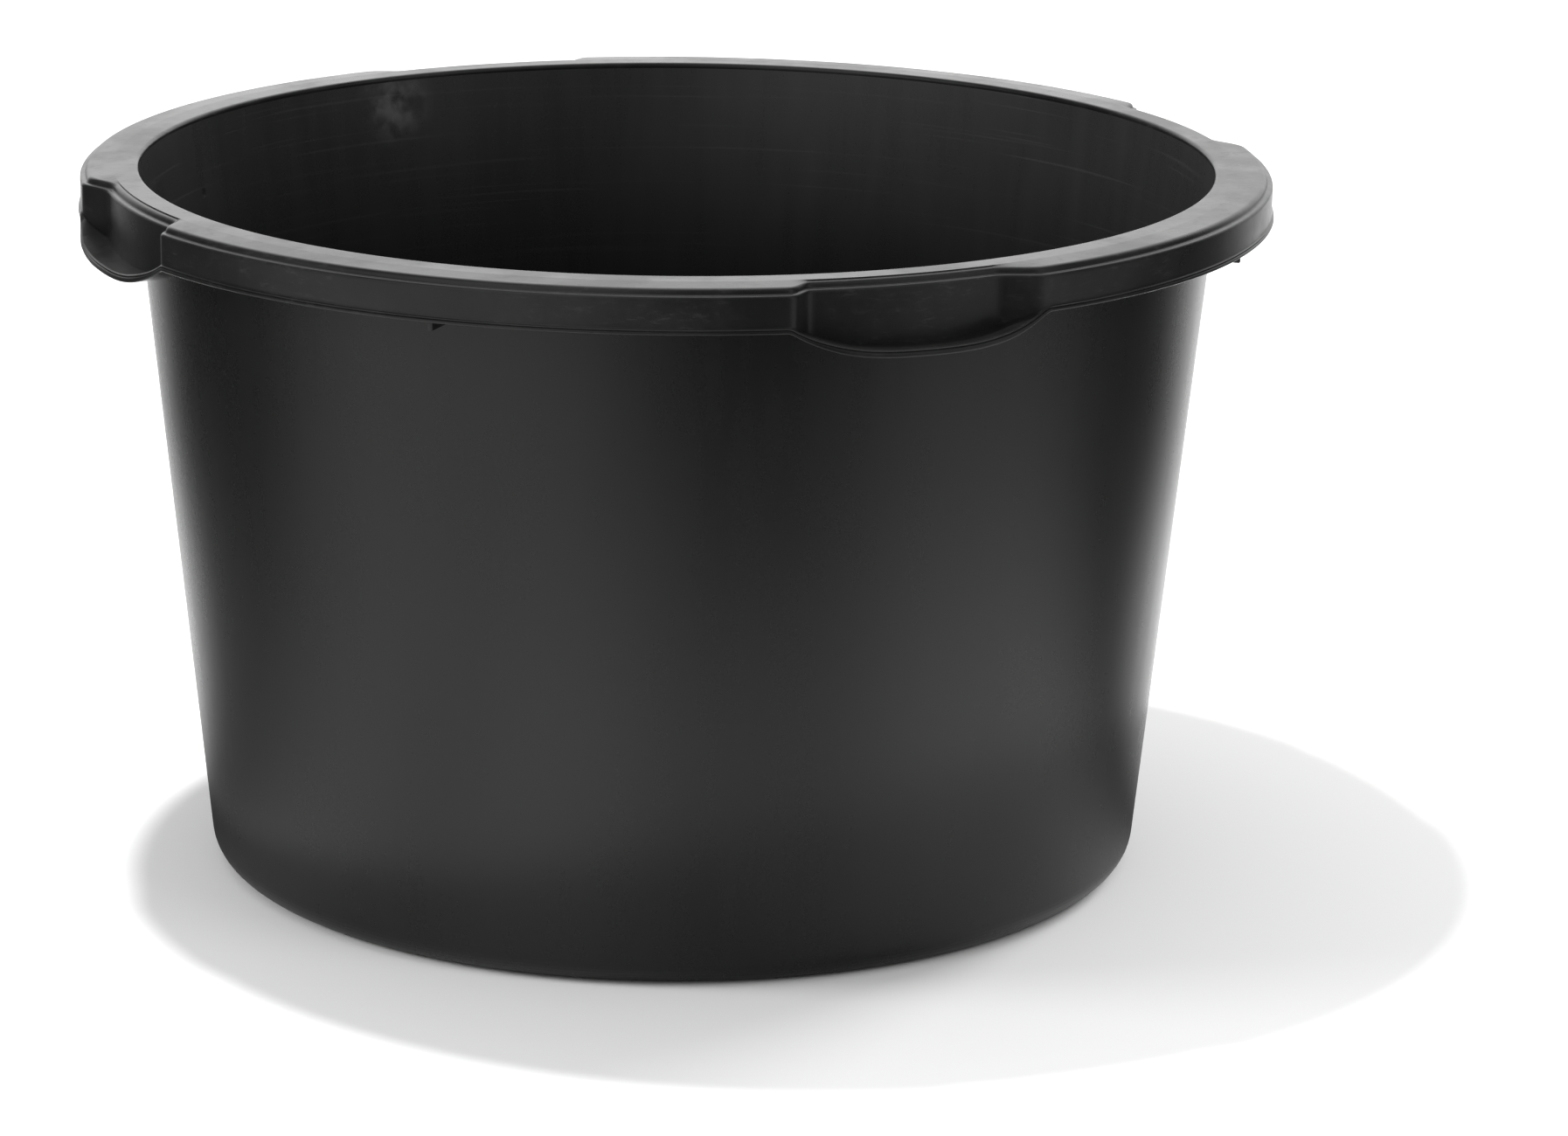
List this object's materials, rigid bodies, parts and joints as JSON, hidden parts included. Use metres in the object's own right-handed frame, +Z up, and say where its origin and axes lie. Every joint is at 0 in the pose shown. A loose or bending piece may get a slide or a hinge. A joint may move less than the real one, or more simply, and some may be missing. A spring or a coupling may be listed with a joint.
{
  "type": "round mortar mixing tub",
  "caption": "Round black plastic mortar mixing tub with a tapering wall, rounded heel, flat turned-down rim and recessed finger grips round the rim.",
  "frame": {"origin": "centre of the circle that the tub stands on, on the ground", "axes": "+Z up along the tub's axis; one grip is centred on each of -Y (front), +X (right), +Y (back) and -X (left)"},
  "size_m": [0.6574, 0.6574, 0.389],
  "materials": {
    "body_plastic": "satin black polyethylene, as moulded",
    "rim_plastic": "satin black polyethylene, slightly scuffed"
  },
  "bodies": {
    "root": {"floor": "body_plastic", "heel": "body_plastic", "wall": "body_plastic", "rim_deck": "rim_plastic", "skirt_front_right": "rim_plastic", "skirt_back_right": "rim_plastic", "skirt_back_left": "rim_plastic", "skirt_front_left": "rim_plastic", "grip_front_panel": "rim_plastic", "grip_right_panel": "rim_plastic", "grip_back_panel": "rim_plastic", "grip_left_panel": "rim_plastic", "grip_front_ledge": "rim_plastic", "grip_right_ledge": "rim_plastic", "grip_back_ledge": "rim_plastic", "grip_left_ledge": "rim_plastic", "rib_front_right": "rim_plastic", "rib_back_right": "rim_plastic", "rib_back_left": "rim_plastic", "rib_front_left": "rim_plastic"}
  },
  "joints": []
}
